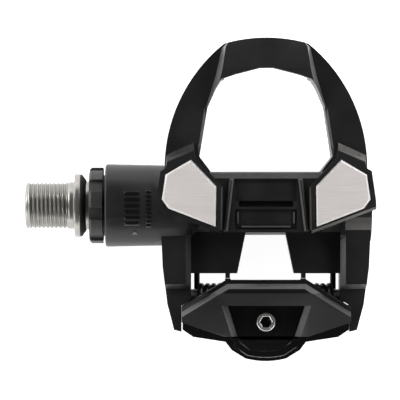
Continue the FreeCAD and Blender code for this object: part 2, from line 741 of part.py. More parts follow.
    # Seats of the platform plates, and the holes of the screws that hold them from below
    seat = [(f"{x} + plate_gap * ({sx})", f"{y} + plate_gap * ({sy})")
            for (x, y), (sx, sy) in zip(plate_corners, ((-1, 0), (-1, -1.5), (0.5, -1.2), (1.2, 0),
                                                        (1, 0.8), (0, 1.5)))]
    cut(body, "plate_seats",
        draw(body, "plate_seat_outline", "XY_Plane", [seat, mirror(seat)], "pad_top + 1"),
        "pad_top + 1 - plate_top + plate_thickness", True)
    for sign, side_name in ((-1, "inboard"), (1, "outboard")):
        spot = (f"{sign} * plate_screw_x", "plate_screw_y")
        cut(body, f"boss_hole_{side_name}",
            circle(body, f"boss_hole_outline_{side_name}", "XY_Plane", spot,
                   "plate_boss + plate_gap", "plate_top"),
            "plate_thickness + plate_boss_length + 0.2", True)
        cut(body, f"screw_hole_{side_name}",
            circle(body, f"screw_hole_outline_{side_name}", "XY_Plane", spot,
                   "plate_screw_radius + 0.2", "plate_top"), "plate_top - pad_base + 1", True)
        cut(body, f"screw_access_{side_name}",
            circle(body, f"screw_access_outline_{side_name}", "XY_Plane", spot,
                   "plate_screw_head + 0.2", "pad_base"), "pad_base + outboard_radius + 3", True)

    # Bore, from the lockring's thread to the end cap's seat
    bore = [
        ("housing_start - 1 - centre_x", 0),
        ("outboard_end + 6 - centre_x", 0),
        ("outboard_end + 6 - centre_x", "cap_radius + thread_clearance"),
        ("outboard_end - cap_width - centre_x", "cap_radius + thread_clearance"),
        ("outboard_end - cap_width - centre_x", "bearing_radius"),
        ("tail_start + bearing_width + circlip_width + 0.1 - centre_x", "bearing_radius"),
        ("tail_start + bearing_width + circlip_width + 0.1 - centre_x",
         "bearing_radius + circlip_bite + 0.05"),
        ("tail_start + bearing_width - centre_x", "bearing_radius + circlip_bite + 0.05"),
        ("tail_start + bearing_width - centre_x", "bearing_radius"),
        ("tail_start - centre_x", "bearing_radius"),
        ("tail_start - centre_x", "shaft_radius + bore_gap"),
        ("needle_start + needle_length - centre_x", "shaft_radius + bore_gap"),
        ("needle_start + needle_length - centre_x", "sleeve_radius"),
        ("needle_start - centre_x", "sleeve_radius"),
        ("needle_start - centre_x", "spigot_radius + thread_clearance"),
        ("housing_start - 1 - centre_x", "spigot_radius + thread_clearance"),
    ]
    before = body.Shape.Volume
    sketch = draw(body, "bore_profile", "XZ_Plane", [bore])
    groove = body.newObject("PartDesign::Groove", "bore")
    groove.Profile = sketch
    groove.ReferenceAxis = (sketch, ["H_Axis"])
    groove.Angle = 360
    doc.recompute()
    if not body.Shape.Volume < before - 1:
        raise RuntimeError("the bore cuts nothing")

    cut(body, "pivot_holes",
        circle(body, "pivot_hole_outline", "YZ_Plane", ("-pivot_back", "pivot_height"),
               "pin_radius"))
    return body


# ---- Platform plates and their screws ----

def make_plate(label, flip):
    body = new_body(label)
    corners = mirror(plate_corners) if flip else plate_corners
    sign = "-1" if flip else "1"
    pad(body, label + "_blank",
        draw(body, label + "_outline", "XY_Plane", [corners], "plate_top - plate_thickness"),
        "plate_thickness")
    chamfer(body, label + "_chamfer", "plate_chamfer", lambda x, y, z: near(z, "plate_top"))
    spot = (f"{sign} * plate_screw_x", "plate_screw_y")
    base = "plate_top - plate_thickness - plate_boss_length"
    pad(body, label + "_boss", circle(body, label + "_boss_outline", "XY_Plane", spot,
                                      "plate_boss", base), "plate_boss_length + 0.5")
    cut(body, label + "_thread", circle(body, label + "_thread_outline", "XY_Plane", spot,
                                        "plate_screw_radius + 0.02", base), "plate_boss_length")
    return body


def make_plate_screws():
    screws = []
    top = "plate_top - plate_thickness - 0.4"
    for sign in (-1, 1):
        place = [f"centre_x + {sign} * plate_screw_x", "plate_screw_y"]
        name = "inboard" if sign < 0 else "outboard"
        shank = rod(f"plate_screw_shank_{name}", "plate_screw_radius",
                    f"{top} - pad_base", place + ["pad_base"])
        head = rod(f"plate_screw_head_{name}", "plate_screw_head", "plate_screw_head_height",
                   place + ["pad_base - plate_screw_head_height"])
        screw = fused(f"plate_screw_{name}", [shank, head])
        socket = doc.addObject("Part::Prism", f"plate_screw_key_{name}")
        socket.Polygon = 6
        bind(socket, Circumradius="plate_screw_key", Height="0.9", Placement__Base__x=place[0],
             Placement__Base__y=place[1],
             Placement__Base__z="pad_base - plate_screw_head_height - 0.1")
        screws.append(less(f"plate_screw_cut_{name}", screw, socket))
    return grouped("plate_screws", screws)


# ---- Rear clip ----

def make_clip():
    body = new_body("rear_clip")

    def shell(inset):
        front = ("clip_lip_half - 0.29 * (%s)" % inset, "-clip_lip_back - (%s)" % inset)
        shoulder = ("clip_half", "-clip_lip_back - 8.3 - 1.18 * (%s)" % inset)
        half = [front, shoulder, ("clip_half", "4.4 - clip_back"), ("12.7", "-clip_back")]
        return mirror(half[:1]) + [(f"-({x})", y) for x, y in half[1:]] + half[:0:-1] + half[:1]

    def sloped(name, drop):
        rear = "-clip_lip_back - lip_ledge - 2.8"
        top = [("-clip_lip_back + 1", f"clip_top - {drop}"), (rear, f"clip_top - {drop}"),
               ("-clip_back - 0.01", f"clip_top_back - {drop}"),
               ("-clip_back - 2", "clip_top + 2"), ("-clip_lip_back + 1", "clip_top + 2")]
        cut(body, name, draw(body, name + "_profile", "YZ_Plane", [top]))

    def on_top(y, z):
        flat_end = number("clip_lip_back + lip_ledge + 2.8")
        fall = number("clip_top - clip_top_back") / (number("clip_back + 0.01") - flat_end)
        return abs(z - number("clip_top") + fall * max(0, -y - flat_end)) < 0.02

    # Ledge round the front of the shell, then the raised shell with its bevelled edge
    pad(body, "lip_ledge_shell", draw(body, "ledge_outline", "XY_Plane", [shell("0")], "-5.5"),
        "clip_top + 5.5")
    sloped("ledge_top", "ledge_drop")
    pad(body, "raised_shell", draw(body, "raised_outline", "XY_Plane", [shell("lip_ledge")], "0"),
        "clip_top + 0.5")
    sloped("shell_top", "0")
    front_edge = -number("clip_lip_back + lip_ledge")
    shell_side = number("clip_lip_half") - 0.5
    shoulder_y = -number("clip_lip_back + 8.3 + 1.18 * lip_ledge")
    chamfer(body, "shell_bevel", "shell_chamfer",
            lambda x, y, z: on_top(y, z) and y > shoulder_y - 0.05
            and (y > front_edge - 0.1 or abs(x) > shell_side))

    # Window with its sloped sides, the tail behind it, and the boss in two tiers
    window = [("11.6", "-30"), ("-11.6", "-30"), ("-8.5", "-clip_back - 0.5"),
              ("8.5", "-clip_back - 0.5")]
    cut(body, "clip_window", draw(body, "clip_window_outline", "XY_Plane", [window],
                                  "clip_window_floor"), "14")
    chamfer(body, "window_sides", "window_chamfer",
            lambda x, y, z: on_top(y, z) and 8 < abs(x) < 11.7 and y < -29.9)
    half_tail = [("25.2", "-31"), ("25.2", "-37.6"), ("22", "-clip_back - 0.3"),
                 ("12.2", "-clip_back - 1.8"), ("10.3", "3.3 - tail_back"),
                 ("6.2", "0.8 - tail_back", "24")]
    tail = [(f"-({c[0]})", c[1]) for c in half_tail[:-1]]
    tail = tail + [("-6.2", "0.8 - tail_back", "24")] + [c[:2] for c in reversed(half_tail)]
    pad(body, "tail", draw(body, "tail_outline", "XY_Plane", [tail], "-5.5"), "tail_top + 5.5")
    for tier, (inset, top) in enumerate((("0.5", "(tail_top + boss_top) / 2"),
                                         ("1.8", "boss_top")), start=1):
        boss = [(f"-11.2 + {inset}", "-clip_back"),
                (f"-10.1 + {inset}", f"3.4 - tail_back + {inset}"),
                (f"-6.1 + 0.5 * {inset}", f"0.9 - tail_back + {inset}", "24"),
                (f"6.1 - 0.5 * {inset}", f"0.9 - tail_back + {inset}"),
                (f"10.1 - {inset}", f"3.4 - tail_back + {inset}"),
                (f"11.2 - {inset}", "-clip_back")]
        pad(body, f"boss_tier_{tier}",
            draw(body, f"boss_outline_{tier}", "XY_Plane", [boss], "tail_top - 0.3"),
            f"{top} - tail_top + 0.3", "-boss_slope")

    beak = [("-clip_lip_back + 1", "-7"), ("-clip_lip_back + 1", "lip_under"),
            ("-clip_lip_back - lip_depth", "lip_under"), ("-clip_lip_back - lip_depth - 2", "6"),
            ("-clip_lip_back - lip_depth - 2", "-7")]
    cut(body, "under_lip", draw(body, "under_lip_profile", "YZ_Plane", [beak]))
    lower = [("-clip_lip_back", "-7"), ("-50", "-7"), ("-50", "2"), ("-42.5", "-3"),
             ("-33", "-5.2"), ("-clip_lip_back", "-5.2")]
    cut(body, "lower_side", draw(body, "lower_side_profile", "YZ_Plane", [lower]))

    # Hub between the springs, and the open bays that the springs fill
    hub = circle(body, "hub_outline", "YZ_Plane", ("-pivot_back", "pivot_height"), "hub_radius",
                 "-hub_half")
    pad(body, "hub", hub, "2 * hub_half")
    bay = [("bay_half", "-20"), ("hub_half", "-20"), ("hub_half", "-33.2"),
           ("bay_half", "-33.2")]
    cut(body, "spring_bays",
        draw(body, "spring_bay_outline", "XY_Plane", [bay, mirror(bay)], "-8"),
        "pivot_height + hub_radius + 8.4")

    # Chamber of the nut plate, open downwards
    side = "nut_plate_half + chamber_gap"
    front = "-screw_back + nut_plate_width / 2 + chamber_gap"
    back = "-screw_back - nut_plate_width / 2 - chamber_gap"
    chamber = [(side, front), (f"-({side})", front), (f"-({side})", back), (side, back)]
    cut(body, "nut_chamber", draw(body, "nut_chamber_outline", "XY_Plane", [chamber], "-8"), "11.4")

    spot = ("0", "-screw_back")
    pad(body, "screw_collar", circle(body, "screw_collar_outline", "XY_Plane", spot,
                                     "head_radius + 0.9", "clip_window_floor - 0.2"), "0.7")
    cut(body, "screw_seat", circle(body, "screw_seat_outline", "XY_Plane", spot,
                                   "head_radius + 0.15", "clip_window_floor - 1"), "4")
    cut(body, "screw_hole", circle(body, "screw_hole_outline", "XY_Plane", spot,
                                   "screw_radius + 0.08", "2"), "clip_top")

    lug = [("12.3", "-clip_lip_back"), ("10.6", "-clip_lip_back"), ("10.6", "-26"),
           ("12.3", "-26")]
    pad(body, "stop_lugs", draw(body, "stop_lug_outline", "XY_Plane", [lug, mirror(lug)], "1.4"),
        "2.6")
    cut(body, "pivot_bore", circle(body, "pivot_bore_outline", "YZ_Plane",
                                   ("-pivot_back", "pivot_height"), "bush_radius"))
    return body


def make_pivot():
    middle = ["-pivot_back", "pivot_height"]
    pin = rod("clip_pivot_pin", "pin_radius", "2 * pin_half", ["centre_x - pin_half"] + middle,
              along_x)
    bushes = []
    for name, start in (("inboard", "-hub_half"), ("outboard", "hub_half - bush_length")):
        outer = rod(f"bush_{name}", "bush_radius", "bush_length",
                    [f"centre_x + {start}"] + middle, along_x)
        inner = rod(f"bush_bore_{name}", "pin_radius + running_clearance", "bush_length + 2",
                    [f"centre_x + {start} - 1"] + middle, along_x)
        bushes.append(less(f"bush_cut_{name}", outer, inner))
    return [pin, grouped("clip_bushings", bushes)]


def make_spring(label, sign):
    coil_radius = "pin_radius + 0.1 + spring_wire"
    gap = "2 * spring_wire + 0.06"
    spine = doc.addObject("Part::Helix", label + "_spine")
    bind(spine, Pitch=gap, Height=f"spring_turns * ({gap})", Radius=coil_radius)
    spine.LocalCoord = "Left-handed" if sign < 0 else "Right-handed"
    section = doc.addObject("Part::Circle", label + "_section")
    bind(section, Radius="spring_wire", Placement__Base__x=coil_radius)
    section.Placement.Rotation = FreeCAD.Rotation(Vector(1, 0, 0), 90)
    sweep = doc.addObject("Part::Sweep", label + "_coil")
    sweep.Sections = [section]
    sweep.Spine = (spine, ["Edge1"])
    sweep.Solid = True
    sweep.Frenet = True
    inner = f"centre_x + {sign} * spring_start"
    outer = f"{inner} + {sign} * spring_turns * ({gap})"
    start = inner if sign > 0 else outer
    # The helix starts straight below the pin, so that both its ends run level.
    sweep.Placement.Rotation = along_x
    bind(sweep, Placement__Base__x=start, Placement__Base__y="-pivot_back",
         Placement__Base__z="pivot_height")
    low = f"pivot_height - ({coil_radius})"
    front = rod(label + "_front_leg", "leg_wire", "front_leg + leg_root",
                [outer, "-pivot_back - leg_root", low], along_y)
    rear = rod(label + "_rear_leg", "leg_wire", "rear_leg + leg_root",
               [inner, "-pivot_back - rear_leg", low], along_y)
    return fused(label, [sweep, front, rear])


def make_tension():
    place = ["centre_x", "-screw_back"]
    seat = "clip_window_floor - 1"
    shank = rod("tension_shank", "screw_radius", f"{seat} - screw_end", place + ["screw_end"])
    head = rod("tension_head", "head_radius", "head_height", place + [seat])
    blank = fused("tension_blank", [shank, head])
    key = doc.addObject("Part::Prism", "tension_key")
    key.Polygon = 6
    bind(key, Circumradius="key_flats / 1.7321", Height="3", Placement__Base__x=place[0],
         Placement__Base__y=place[1], Placement__Base__z=f"{seat} + head_height - 1.6")
    screw = less("tension_screw", blank, key)
    slab = doc.addObject("Part::Box", "nut_plate_blank")
    bind(slab, Length="2 * nut_plate_half", Width="nut_plate_width", Height="nut_plate_thickness",
         Placement__Base__x="centre_x - nut_plate_half",
         Placement__Base__y="-screw_back - nut_plate_width / 2",
         Placement__Base__z="nut_plate_base")
    hole = rod("nut_plate_hole", "screw_radius + thread_clearance", "nut_plate_thickness + 2",
               place + ["nut_plate_base - 1"])
    return [screw, less("tension_nut_plate", slab, hole)]


nodes = [make_spindle(), make_dust_seal(), make_lockring()]
nodes.append(ring("inboard_lip_seal", "lockring_start + 0.5", "lip_seal_width",
                  "neck_radius + running_clearance", "lip_seal_radius"))
nodes += make_needle_bearing()
nodes += make_ball_bearing()
nodes += make_outboard_end()
nodes.append(make_pedal_body())
nodes.append(make_plate("platform_plate_inboard", True))
nodes.append(make_plate("platform_plate_outboard", False))
nodes.append(make_plate_screws())
nodes.append(make_clip())
nodes += make_pivot()
nodes.append(make_spring("torsion_spring_inboard", -1))
nodes.append(make_spring("torsion_spring_outboard", 1))
nodes += make_tension()
doc.recompute()

for item in doc.Objects:
    if "Invalid" in item.State or "Error" in item.State:
        raise RuntimeError(f"{item.Label} failed: {item.State}")
for node in nodes:
    if node.Shape.isNull() or not node.Shape.isValid():
        raise RuntimeError(f"{node.Label} has no valid shape")

os.makedirs("parts", exist_ok=True)
for node in nodes:
    node.Shape.exportStep(f"parts/{node.Label}.step")
    box = node.Shape.BoundBox
    print(f"{node.Label}: {len(node.Shape.Solids)} solids, {node.Shape.Volume:.1f} mm3, "
          f"X {box.XMin:.2f}..{box.XMax:.2f} Y {box.YMin:.2f}..{box.YMax:.2f} "
          f"Z {box.ZMin:.2f}..{box.ZMax:.2f}")
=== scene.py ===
import bpy
import bmesh
import json
import math
from mathutils import Matrix, Vector


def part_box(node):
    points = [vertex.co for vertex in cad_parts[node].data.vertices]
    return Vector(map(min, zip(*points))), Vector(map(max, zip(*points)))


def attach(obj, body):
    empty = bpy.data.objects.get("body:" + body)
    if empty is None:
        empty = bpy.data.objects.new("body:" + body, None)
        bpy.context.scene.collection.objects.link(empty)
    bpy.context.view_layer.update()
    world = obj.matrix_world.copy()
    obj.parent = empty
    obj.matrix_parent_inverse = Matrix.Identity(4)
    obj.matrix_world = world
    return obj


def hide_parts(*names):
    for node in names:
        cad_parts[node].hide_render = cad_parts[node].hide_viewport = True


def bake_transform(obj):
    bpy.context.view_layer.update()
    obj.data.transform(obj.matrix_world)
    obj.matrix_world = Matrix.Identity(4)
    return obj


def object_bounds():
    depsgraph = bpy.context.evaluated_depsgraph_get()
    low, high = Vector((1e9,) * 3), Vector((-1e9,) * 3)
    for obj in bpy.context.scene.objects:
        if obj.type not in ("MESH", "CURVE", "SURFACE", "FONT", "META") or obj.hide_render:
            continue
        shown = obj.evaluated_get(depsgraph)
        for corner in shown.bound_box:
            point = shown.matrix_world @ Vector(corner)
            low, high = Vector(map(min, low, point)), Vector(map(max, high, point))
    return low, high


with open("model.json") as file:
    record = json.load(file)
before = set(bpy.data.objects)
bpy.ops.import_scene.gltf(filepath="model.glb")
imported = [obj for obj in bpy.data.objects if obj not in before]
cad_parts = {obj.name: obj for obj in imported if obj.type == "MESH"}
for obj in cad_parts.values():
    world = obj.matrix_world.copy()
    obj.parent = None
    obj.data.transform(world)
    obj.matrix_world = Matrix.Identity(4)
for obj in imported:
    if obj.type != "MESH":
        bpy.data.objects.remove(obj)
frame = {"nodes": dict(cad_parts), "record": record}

mm = 0.001
scene = bpy.context.scene
cadBox = [list(corner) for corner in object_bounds()]
lowCorner, highCorner = (Vector(corner) for corner in cadBox)
middle = (lowCorner + highCorner) / 2
print("frame loaded:", len(frame["nodes"]), "nodes")


# Helpers that every piece uses
def link(objectName, data):
    made = bpy.data.objects.new(objectName, data)
    scene.collection.objects.link(made)
    return made


def meshFrom(work, name):
    mesh = bpy.data.meshes.new(name)
    work.to_mesh(mesh)
    work.free()
    return mesh


def smoothFaces(mesh, sharpAngle):
    for polygon in mesh.polygons:
        polygon.use_smooth = True
    mesh.set_sharp_from_angle(angle=math.radians(sharpAngle))


def boxMiddle(nodeName):
    return [(low + high) / 2 for low, high in zip(*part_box(nodeName))]


# Camera: straight above the pedal, front of the pedal at the top of the picture
cameraSet = {"lens": 260.0, "sensor": 36.0, "frameWidth": 122 * mm, "clipStart": 0.01,
             "clipEnd": 10.0}


def makeCamera():
    given = cameraSet
    data = bpy.data.cameras.new("topCamera")
    data.lens = given["lens"]
    data.sensor_width = given["sensor"]
    data.clip_start = given["clipStart"]
    data.clip_end = given["clipEnd"]
    camera = link("topCamera", data)
    height = given["frameWidth"] * given["lens"] / given["sensor"]
    camera.location = (middle.x, middle.y, height)
    scene.camera = camera


makeCamera()
scene.view_settings.view_transform = "Standard"
print("camera set")

numberSocket = "NodeSocketFloat"
vectorSocket = "NodeSocketVector"
noiseRange = (0.3, 0.7)   # a noise node's values mostly lie between these


# A socket takes a plain number or another node's output
def feed(tree, socket, value):
    if isinstance(value, (int, float)):
        socket.default_value = value
    else:
        tree.links.new(value, socket)


def mathNode(tree, operation, first, second=0.0):
    node = tree.nodes.new("ShaderNodeMath")
    node.operation = operation
    feed(tree, node.inputs[0], first)
    feed(tree, node.inputs[1], second)
    return node.outputs["Value"]


# Shader node groups, each shared by several finishes
def newGroup(name, inputs, outputs):
    tree = bpy.data.node_groups.new(name, "ShaderNodeTree")
    for socketName, kind, value in inputs:
        socket = tree.interface.new_socket(socketName, in_out="INPUT", socket_type=kind)
        socket.default_value = value
    for socketName, kind in outputs:
        tree.interface.new_socket(socketName, in_out="OUTPUT", socket_type=kind)
    return tree, tree.nodes.new("NodeGroupInput"), tree.nodes.new("NodeGroupOutput")


def objectPlace(tree):
    return tree.nodes.new("ShaderNodeTexCoord").outputs["Object"]


def noiseNode(tree, coordinates, scale, detail, roughness=0.55):
    noise = tree.nodes.new("ShaderNodeTexNoise")
    feed(tree, noise.inputs["Scale"], scale)
    noise.inputs["Detail"].default_value = detail
    noise.inputs["Roughness"].default_value = roughness
    tree.links.new(coordinates, noise.inputs["Vector"])
    return noise.outputs["Fac"]


def weighted(tree, first, second, share):
    return mathNode(tree, "ADD", mathNode(tree, "MULTIPLY", first, share),
                    mathNode(tree, "MULTIPLY", second, 1 - share))


def spread(tree, value, low, high):
    node = tree.nodes.new("ShaderNodeMapRange")
    tree.links.new(value, node.inputs["Value"])
    node.inputs["From Min"].default_value = noiseRange[0]
    node.inputs["From Max"].default_value = noiseRange[1]
    feed(tree, node.inputs["To Min"], low)
    feed(tree, node.inputs["To Max"], high)
    return node.outputs["Result"]


def bumpNode(tree, height, strength, distance):
    bump = tree.nodes.new("ShaderNodeBump")
    tree.links.new(height, bump.inputs["Height"])
    tree.links.new(strength, bump.inputs["Strength"])
    bump.inputs["Distance"].default_value = distance
    return bump.outputs["Normal"]


grainSet = {"grainDetail": 2.0, "cloudScale": 95.0, "cloudDetail": 4.0, "cloudShare": 0.7,
            "distance": 0.03 * mm}


# Fine spark-eroded grain of a moulding tool, with soft cloudy changes of gloss
def mouldedGrain():
    tree, given, result = newGroup(
        "mouldedGrain",
        [("Grain Scale", numberSocket, 5200.0), ("Grain Depth", numberSocket, 0.25),
         ("Rough Low", numberSocket, 0.36), ("Rough High", numberSocket, 0.5)],
        [("Pattern", numberSocket), ("Roughness", numberSocket), ("Normal", vectorSocket)])
    place = objectPlace(tree)
    grain = noiseNode(tree, place, given.outputs["Grain Scale"], grainSet["grainDetail"])
    cloud = noiseNode(tree, place, grainSet["cloudScale"], grainSet["cloudDetail"])
    mixed = weighted(tree, cloud, grain, grainSet["cloudShare"])
    rough = spread(tree, mixed, given.outputs["Rough Low"], given.outputs["Rough High"])
    bump = bumpNode(tree, grain, given.outputs["Grain Depth"], grainSet["distance"])
    tree.links.new(cloud, result.inputs["Pattern"])
    tree.links.new(rough, result.inputs["Roughness"])
    tree.links.new(bump, result.inputs["Normal"])
    return tree


lineSet = {"lineDetail": 3.0, "lineRoughness": 0.65, "stainScale": 160.0, "stainDetail": 4.0,
           "lineShare": 0.6, "distance": 0.012 * mm}


# Fine parallel lines: brushed along one axis, or turned round the spindle's axis
def brushedLines():
    tree, given, result = newGroup(
        "brushedLines",
        [("Stretch", vectorSocket, (60.0, 5200.0, 60.0)), ("Line Depth", numberSocket, 0.3),
         ("Rough Low", numberSocket, 0.3), ("Rough High", numberSocket, 0.45)],
        [("Pattern", numberSocket), ("Roughness", numberSocket), ("Normal", vectorSocket)])
    place = objectPlace(tree)
    stretched = tree.nodes.new("ShaderNodeVectorMath")
    stretched.operation = "MULTIPLY"
    tree.links.new(place, stretched.inputs[0])
    tree.links.new(given.outputs["Stretch"], stretched.inputs[1])
    line = noiseNode(tree, stretched.outputs["Vector"], 1.0, lineSet["lineDetail"],
                     lineSet["lineRoughness"])
    stain = noiseNode(tree, place, lineSet["stainScale"], lineSet["stainDetail"])
    mixed = weighted(tree, line, stain, lineSet["lineShare"])
    rough = spread(tree, mixed, given.outputs["Rough Low"], given.outputs["Rough High"])
    bump = bumpNode(tree, line, given.outputs["Line Depth"], lineSet["distance"])
    tree.links.new(line, result.inputs["Pattern"])
    tree.links.new(rough, result.inputs["Roughness"])
    tree.links.new(bump, result.inputs["Normal"])
    return tree


rubSet = {"detail": 5.0, "roughness": 0.7}


# Patches of rubbing where an edge has been handled
def rubbedPatches():
    tree, given, result = newGroup(
        "rubbedPatches",
        [("Patch Scale", numberSocket, 420.0), ("Amount", numberSocket, 0.5)],
        [("Mask", numberSocket)])
    patch = noiseNode(tree, objectPlace(tree), given.outputs["Patch Scale"], rubSet["detail"],
                      rubSet["roughness"])
    mask = spread(tree, patch, 0.0, given.outputs["Amount"])
    tree.links.new(mask, result.inputs["Mask"])
    return tree


groups = {"grain": mouldedGrain(), "lines": brushedLines(), "rubbed": rubbedPatches()}
print("shader groups made:", len(groups))


def groupNode(tree, group, values):
    node = tree.nodes.new("ShaderNodeGroup")
    node.node_tree = groups[group]
    for socketName, value in values.items():
        node.inputs[socketName].default_value = value
    return node


# The first colour is plain or comes from another node, and the second is plain
def mixColours(tree, factor, first, second):
    mix = tree.nodes.new("ShaderNodeMix")
    mix.data_type = "RGBA"
    tree.links.new(factor, mix.inputs["Factor"])
    if isinstance(first, tuple):
        mix.inputs["A"].default_value = (*first, 1)
    else:
        tree.links.new(first, mix.inputs["A"])
    mix.inputs["B"].default_value = (*second, 1)
    return mix.outputs["Result"]


coatRoughness = 0.18


# One finish: two close colours mixed by the group's pattern, then gloss and surface from it
def finish(name, colours, group, values, metallic=0.0, coat=0.0, level=0.4, rub=None):
    material = bpy.data.materials.new(name)
    material.use_nodes = True
    tree = material.node_tree
    shader = tree.nodes["Principled BSDF"]
    shader.inputs["Metallic"].default_value = metallic
    shader.inputs["Coat Weight"].default_value = coat
    shader.inputs["Coat Roughness"].default_value = coatRoughness
    shader.inputs["Specular IOR Level"].default_value = level
    pattern = groupNode(tree, group, values)
    colour = mixColours(tree, spread(tree, pattern.outputs["Pattern"], 0.0, 1.0), *colours)
    if rub:
        rubbed = groupNode(tree, "rubbed", {"Patch Scale": rub["scale"], "Amount": rub["amount"]})
        colour = mixColours(tree, rubbed.outputs["Mask"], colour, rub["colour"])
    tree.links.new(colour, shader.inputs["Base Color"])
    tree.links.new(pattern.outputs["Roughness"], shader.inputs["Roughness"])
    tree.links.new(pattern.outputs["Normal"], shader.inputs["Normal"])
    return material


roundLines = (5200.0, 70.0, 70.0)   # turned lines run round the spindle, so they change along X
evenLines = (900.0, 900.0, 900.0)   # drawn wire and machined sockets show no direction

finishSet = {
    "bodyPlastic": {
        "colours": [(0.014, 0.0135, 0.0136), (0.0235, 0.0225, 0.0226)], "group": "grain",
        "values": {"Grain Scale": 5200.0, "Grain Depth": 0.2, "Rough Low": 0.32,
                   "Rough High": 0.42},
        "level": 0.32},
    # Lighter copy of the body plastic for sloped flats: painted sheen, with rubbed patches of wear
    # on top
    "bodyFacetPaintedSheen": {
        "colours": [(0.05, 0.048, 0.047), (0.085, 0.081, 0.079)], "group": "grain",
        "values": {"Grain Scale": 4200.0, "Grain Depth": 0.12, "Rough Low": 0.3,
                   "Rough High": 0.42},
        "rub": {"scale": 260.0, "amount": 0.4, "colour": (0.14, 0.135, 0.13)}},
    "clipPlastic": {
        "colours": [(0.005, 0.0049, 0.005), (0.009, 0.0086, 0.0088)], "group": "grain",
        "values": {"Grain Scale": 4800.0, "Grain Depth": 0.14, "Rough Low": 0.27,
                   "Rough High": 0.36}},
    # Lighter copy of the clip plastic for the shell's bevels: painted sheen, with rubbed patches
    # of wear on top
    "clipFacetPaintedSheen": {
        "colours": [(0.03, 0.029, 0.029), (0.055, 0.053, 0.052)], "group": "grain",
        "values": {"Grain Scale": 4200.0, "Grain Depth": 0.08, "Rough Low": 0.2,
                   "Rough High": 0.32},
        "rub": {"scale": 260.0, "amount": 0.35, "colour": (0.1, 0.097, 0.094)}},
    "glossPlastic": {
        "colours": [(0.0035, 0.0035, 0.0037), (0.006, 0.0058, 0.0058)], "group": "grain",
        "values": {"Grain Scale": 2600.0, "Grain Depth": 0.05, "Rough Low": 0.1,
                   "Rough High": 0.17},
        "level": 0.9},
    "ringPlastic": {
        "colours": [(0.02, 0.019, 0.018), (0.034, 0.032, 0.03)], "group": "grain",
        "values": {"Grain Scale": 4200.0, "Grain Depth": 0.25, "Rough Low": 0.38,
                   "Rough High": 0.5},
        "rub": {"scale": 520.0, "amount": 0.3, "colour": (0.07, 0.067, 0.064)}},
    "sealRubber": {
        "colours": [(0.007, 0.007, 0.007), (0.012, 0.0115, 0.011)], "group": "grain",
        "values": {"Grain Scale": 3000.0, "Grain Depth": 0.35, "Rough Low": 0.62,
                   "Rough High": 0.78}},
    "plateSteel": {
        "colours": [(0.88, 0.825, 0.8), (0.97, 0.915, 0.89)], "group": "lines",
        "values": {"Stretch": (90.0, 4200.0, 90.0), "Line Depth": 0.25, "Rough Low": 0.42,
                   "Rough High": 0.56},
        "metallic": 0.35},
    "plateRim": {
        "colours": [(0.56, 0.54, 0.53), (0.66, 0.64, 0.63)], "group": "lines",
        "values": {"Stretch": (300.0, 300.0, 300.0), "Line Depth": 0.05, "Rough Low": 0.2,
                   "Rough High": 0.3},
        "metallic": 0.45},
    "spindleSteel": {
        "colours": [(0.34, 0.333, 0.315), (0.46, 0.45, 0.425)], "group": "lines",
        "values": {"Stretch": roundLines, "Line Depth": 0.3, "Rough Low": 0.24,
                   "Rough High": 0.4},
        "metallic": 0.85,
        "rub": {"scale": 600.0, "amount": 0.2, "colour": (0.16, 0.155, 0.145)}},
    "bearingSteel": {
        "colours": [(0.7, 0.7, 0.71), (0.8, 0.8, 0.8)], "group": "lines",
        "values": {"Stretch": roundLines, "Line Depth": 0.08, "Rough Low": 0.1,
                   "Rough High": 0.2},
        "metallic": 1.0},
    "bronze": {
        "colours": [(0.42, 0.27, 0.13), (0.55, 0.37, 0.2)], "group": "grain",
        "values": {"Grain Scale": 3600.0, "Grain Depth": 0.3, "Rough Low": 0.36,
                   "Rough High": 0.5},
        "metallic": 0.95},
    "springSteel": {
        "colours": [(0.012, 0.012, 0.013), (0.022, 0.021, 0.021)], "group": "lines",
        "values": {"Stretch": evenLines, "Line Depth": 0.2, "Rough Low": 0.25,
                   "Rough High": 0.4},
        "metallic": 0.4, "coat": 0.2},
    # Dark colour for the screw's hex socket: painted shade in the recess
    "socketPaintedShade": {
        "colours": [(0.02, 0.02, 0.021), (0.04, 0.039, 0.038)], "group": "lines",
        "values": {"Stretch": evenLines, "Line Depth": 0.2, "Rough Low": 0.3,
                   "Rough High": 0.45},
        "metallic": 0.3},
    "screwSteel": {
        "colours": [(0.66, 0.65, 0.64), (0.8, 0.79, 0.78)], "group": "lines",
        "values": {"Stretch": (2600.0, 2600.0, 60.0), "Line Depth": 0.15, "Rough Low": 0.16,
                   "Rough High": 0.3},
        "metallic": 0.7},
    "zincSteel": {
        "colours": [(0.42, 0.42, 0.42), (0.55, 0.55, 0.54)], "group": "lines",
        "values": {"Stretch": (700.0, 700.0, 700.0), "Line Depth": 0.2, "Rough Low": 0.3,
                   "Rough High": 0.45},
        "metallic": 0.95},
}
finishes = {name: finish(name, **given) for name, given in finishSet.items()}
print("finishes made:", len(finishes))

dressSet = {"merge": 0.0015 * mm, "flatAngle": 0.4, "sharpAngle": 24, "roundAngle": 26}


# A CAD node's shape as a fresh mesh: joined up, its flats made whole
def dressedMesh(nodeName, pieceName):
    source = frame["nodes"][nodeName]
    work = bmesh.new()
    work.from_mesh(source.data)
    bmesh.ops.remove_doubles(work, verts=work.verts, dist=dressSet["merge"])
    bmesh.ops.dissolve_limit(work, angle_limit=math.radians(dressSet["flatAngle"]),
                             verts=work.verts, edges=work.edges)
    bmesh.ops.recalc_face_normals(work, faces=work.faces)
    return meshFrom(work, pieceName)


def bodyOfNode(nodeName):
    bodies = frame["record"]["behaviour"]["bodies"]
    return next(name for name, members in bodies.items() if nodeName in members)


# A piece moves with its node's body and stands for the node, whose CAD part is hidden
def settle(piece, nodeName):
    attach(piece, bodyOfNode(nodeName))
    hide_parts(nodeName)


